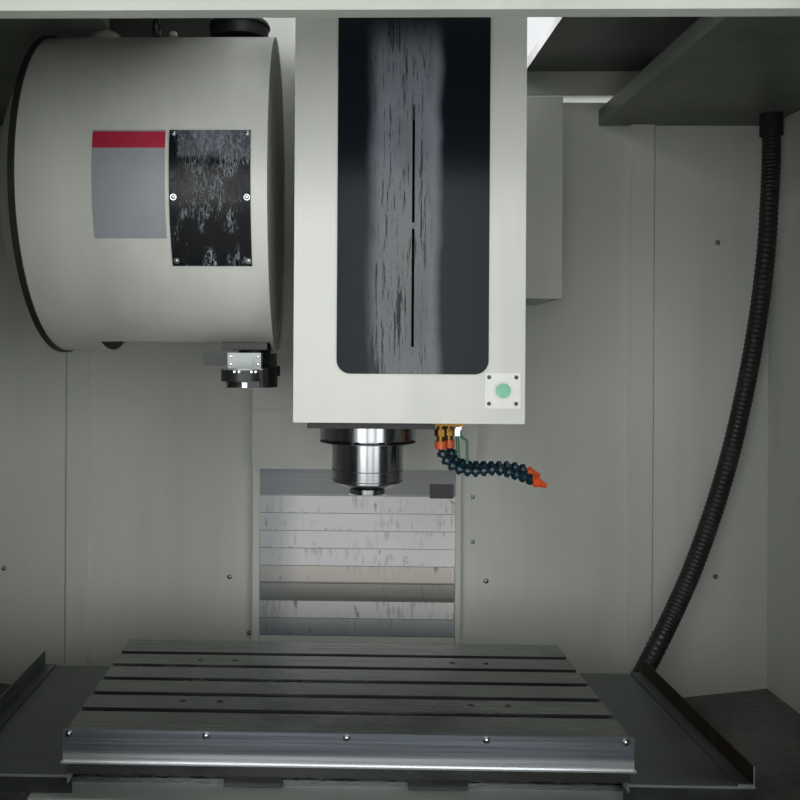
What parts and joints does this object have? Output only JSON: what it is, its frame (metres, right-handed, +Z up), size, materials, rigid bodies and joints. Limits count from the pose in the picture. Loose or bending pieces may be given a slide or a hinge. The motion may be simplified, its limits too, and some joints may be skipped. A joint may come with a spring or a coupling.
{
  "type": "vertical cnc machining center",
  "caption": "Enclosed vertical milling machine: moving table with T-slots, spindle head on a column, tool drum with changer arm, telescopic way cover, sliding doors.",
  "frame": {"origin": "point on the floor under the spindle axis, centre of the four front anchor holes", "axes": "+X to the right of someone at the doors, +Y to the back, +Z up"},
  "size_m": [2.4, 2.5583, 2.658],
  "materials": {
    "cast_paint": "satin",
    "sheet_white": "satin",
    "wall_paint": "satin",
    "tank_paint": "satin",
    "cabinet_paint": "satin",
    "dark_paint": "satin",
    "rail_steel": "ground",
    "plate_steel": "brushed",
    "table_iron": "ground",
    "apron_steel": "brushed",
    "cover_steel": "brushed",
    "spindle_steel": "polished",
    "foot_iron": "cast",
    "panel_black": "gloss",
    "rubber_black": "matte",
    "plastic_black": "matte",
    "plastic_grey": "matte",
    "button_mint": "gloss",
    "hose_blue": "satin",
    "valve_brass": "satin",
    "lever_steel": "polished",
    "stop_red": "gloss",
    "motor_black": "satin",
    "window_glass": "clear"
  },
  "bodies": {
    "frame": {"bed": "cast_paint", "levelling_feet": "foot_iron", "column": "cast_paint", "rails_and_motors": "rail_steel", "chip_pans": "wall_paint", "coolant_tank": "tank_paint", "back_wall": "wall_paint", "side_walls": "wall_paint", "roof_panels": "wall_paint", "front_frame": "wall_paint", "column_side_box": "sheet_white", "conduit_gland": "plastic_black", "cable_conduit": "plastic_black", "electrical_cabinet": "cabinet_paint", "magazine_bracket": "cast_paint", "drum_cover": "sheet_white", "drum_rim_seal": "rubber_black", "drum_window": "panel_black", "changer_gearbox": "dark_paint", "changer_motor": "motor_black", "z_cover_9": "plate_steel"},
    "saddle": {"saddle": "cast_paint", "x_rails": "rail_steel"},
    "table": {"table": "table_iron", "table_apron": "apron_steel", "x_covers": "cover_steel"},
    "head": {"headstock": "cast_paint", "head_cover": "sheet_white", "head_panel": "panel_black", "rear_cover": "sheet_white", "spindle_housing": "plate_steel", "spindle_motor": "motor_black", "button_plate": "plastic_grey", "coolant_manifold": "valve_brass", "coolant_hoses": "hose_blue", "z_cover_1": "plate_steel"},
    "spindle": {"spindle_shaft": "spindle_steel"},
    "drawbar": {"drawbar": "rail_steel"},
    "release_button": {"release_button": "button_mint"},
    "valve_lever": {"valve_lever": "lever_steel"},
    "y_screw": {"y_screw": "rail_steel"},
    "z_screw": {"z_screw": "rail_steel"},
    "x_screw": {"x_screw": "rail_steel"},
    "tool_disc": {"tool_disc": "rail_steel"},
    "changer_arm": {"changer_arm": "dark_paint"},
    "door_left": {"door_left": "wall_paint", "window_left": "window_glass"},
    "door_right": {"door_right": "wall_paint", "window_right": "window_glass"},
    "operator_panel": {"operator_panel": "cabinet_paint"},
    "emergency_stop": {"emergency_stop": "stop_red"},
    "override_knob": {"override_knob": "plastic_black"},
    "cabinet_door": {"cabinet_door": "cabinet_paint"},
    "z_cover_2": {"z_cover_2": "plate_steel"},
    "z_cover_3": {"z_cover_3": "plate_steel"},
    "z_cover_4": {"z_cover_4": "plate_steel"},
    "z_cover_5": {"z_cover_5": "plate_steel"},
    "z_cover_6": {"z_cover_6": "plate_steel"},
    "z_cover_7": {"z_cover_7": "plate_steel"},
    "z_cover_8": {"z_cover_8": "plate_steel"}
  },
  "joints": [
    {"name": "saddle_y", "type": "slide", "parent": "frame", "child": "saddle", "axis": [0, 1, 0], "range_m": [-0.191, 0.309], "deforming": ["cable_conduit"]},
    {"name": "table_x", "type": "slide", "parent": "saddle", "child": "table", "axis": [1, 0, 0], "range_m": [-0.352, 0.448]},
    {"name": "head_z", "type": "slide", "parent": "frame", "child": "head", "axis": [0, 0, 1], "range_m": [-0.23, 0.27]},
    {"name": "spindle_spin", "type": "hinge", "parent": "head", "child": "spindle", "pos_m": [0, 0, 1.28], "axis": [0, 0, 1], "continuous": true},
    {"name": "drawbar_stroke", "type": "slide", "parent": "spindle", "child": "drawbar", "axis": [0, 0, 1], "range_m": [-0.006, 0], "stiffness_N_per_m": 20000, "springref_m": 0.004},
    {"name": "release_press", "type": "slide", "parent": "head", "child": "release_button", "axis": [0, 1, 0], "range_m": [0, 0.003], "stiffness_N_per_m": 1500, "springref_m": -0.002},
    {"name": "valve_turn", "type": "hinge", "parent": "head", "child": "valve_lever", "pos_m": [0.177, -0.0863, 1.416], "axis": [0, 1, 0], "range_deg": [0, 90]},
    {"name": "z_cover_2_slide", "type": "slide", "parent": "frame", "child": "z_cover_2", "axis": [0, 0, 1], "range_m": [-0.20126, 0.23626]},
    {"name": "z_cover_3_slide", "type": "slide", "parent": "frame", "child": "z_cover_3", "axis": [0, 0, 1], "range_m": [-0.17251, 0.20251]},
    {"name": "z_cover_4_slide", "type": "slide", "parent": "frame", "child": "z_cover_4", "axis": [0, 0, 1], "range_m": [-0.14376, 0.16876]},
    {"name": "z_cover_5_slide", "type": "slide", "parent": "frame", "child": "z_cover_5", "axis": [0, 0, 1], "range_m": [-0.11501, 0.13501]},
    {"name": "z_cover_6_slide", "type": "slide", "parent": "frame", "child": "z_cover_6", "axis": [0, 0, 1], "range_m": [-0.08626, 0.10126]},
    {"name": "z_cover_7_slide", "type": "slide", "parent": "frame", "child": "z_cover_7", "axis": [0, 0, 1], "range_m": [-0.05751, 0.06751]},
    {"name": "z_cover_8_slide", "type": "slide", "parent": "frame", "child": "z_cover_8", "axis": [0, 0, 1], "range_m": [-0.02876, 0.03376]},
    {"name": "y_screw_turn", "type": "hinge", "parent": "frame", "child": "y_screw", "pos_m": [0, 0, 0.575], "axis": [0, 1, 0], "continuous": true},
    {"name": "z_screw_turn", "type": "hinge", "parent": "frame", "child": "z_screw", "pos_m": [0, 0.7, 1.8], "axis": [0, 0, 1], "continuous": true},
    {"name": "x_screw_turn", "type": "hinge", "parent": "saddle", "child": "x_screw", "pos_m": [0, -0.059, 0.735], "axis": [1, 0, 0], "continuous": true},
    {"name": "disc_turn", "type": "hinge", "parent": "frame", "child": "tool_disc", "pos_m": [-0.4, 0.06, 1.914], "axis": [1, 0, 0], "continuous": true},
    {"name": "arm_swing", "type": "hinge", "parent": "frame", "child": "changer_arm", "pos_m": [-0.244, 0.03, 1.502], "axis": [0, 0, 1], "range_deg": [-10, 10]},
    {"name": "door_left_slide", "type": "slide", "parent": "frame", "child": "door_left", "axis": [1, 0, 0], "range_m": [0, 0.5295]},
    {"name": "door_right_slide", "type": "slide", "parent": "frame", "child": "door_right", "axis": [-1, 0, 0], "range_m": [0, 0.5295]},
    {"name": "panel_swivel", "type": "hinge", "parent": "frame", "child": "operator_panel", "pos_m": [1.135, -0.93, 2.1], "axis": [0, 0, 1], "range_deg": [0, 75]},
    {"name": "stop_press", "type": "slide", "parent": "operator_panel", "child": "emergency_stop", "axis": [0, 1, 0], "range_m": [0, 0.006]},
    {"name": "knob_turn", "type": "hinge", "parent": "operator_panel", "child": "override_knob", "pos_m": [0.985, -0.98, 1.27], "axis": [0, 1, 0], "range_deg": [-135, 135]},
    {"name": "cabinet_hinge", "type": "hinge", "parent": "frame", "child": "cabinet_door", "pos_m": [-0.4683, 1.48, 1.1], "axis": [0, 0, 1], "range_deg": [0, 110]}
  ],
  "couplings": [
    {"joint": "z_cover_2_slide", "follows": "head_z", "ratio": 0.875},
    {"joint": "z_cover_3_slide", "follows": "head_z", "ratio": 0.75},
    {"joint": "z_cover_4_slide", "follows": "head_z", "ratio": 0.625},
    {"joint": "z_cover_5_slide", "follows": "head_z", "ratio": 0.5},
    {"joint": "z_cover_6_slide", "follows": "head_z", "ratio": 0.375},
    {"joint": "z_cover_7_slide", "follows": "head_z", "ratio": 0.25},
    {"joint": "z_cover_8_slide", "follows": "head_z", "ratio": 0.125},
    {"joint": "y_screw_turn", "follows": "saddle_y", "rad_per_m": 523.6},
    {"joint": "z_screw_turn", "follows": "head_z", "rad_per_m": 523.6},
    {"joint": "x_screw_turn", "follows": "table_x", "rad_per_m": 523.6}
  ]
}
